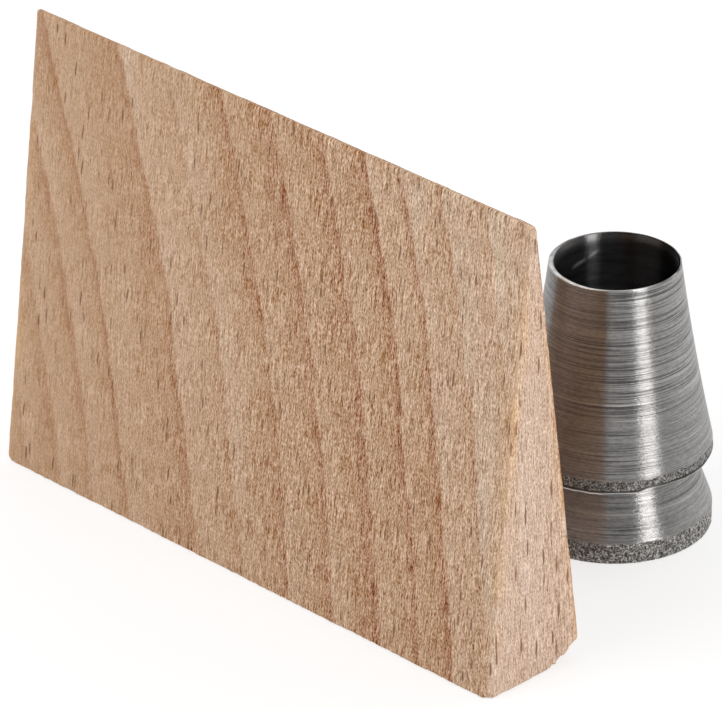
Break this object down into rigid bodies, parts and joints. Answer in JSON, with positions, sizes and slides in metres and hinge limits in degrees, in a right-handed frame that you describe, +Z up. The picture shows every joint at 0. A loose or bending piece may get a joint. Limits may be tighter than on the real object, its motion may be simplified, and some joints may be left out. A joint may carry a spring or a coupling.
{
  "type": "handle wedge set",
  "caption": "Wedge set for fixing a tool head on its handle: a sawn wooden wedge and a hollow, tapered, barbed steel ring wedge that stand side by side.",
  "frame": {"origin": "middle of the wooden wedge's driven base, on the surface that both pieces stand on", "axes": "+X along the wooden wedge, +Y through its thickness towards the ring wedge, +Z up, out of the ring wedge's narrow end"},
  "size_m": [0.07, 0.0453, 0.049],
  "materials": {
    "beech": "sawn, bare",
    "turned_steel": "turned, with bands of bare stock left on"
  },
  "bodies": {
    "wooden_wedge_body": {"wooden_wedge": "beech"},
    "ring_wedge_body": {"ring_wedge": "turned_steel"}
  },
  "joints": [
    {"name": "ring_lift", "type": "slide", "parent": "wooden_wedge_body", "child": "ring_wedge_body", "axis": [0, 0, 1], "range_m": [0, 0.06]}
  ]
}
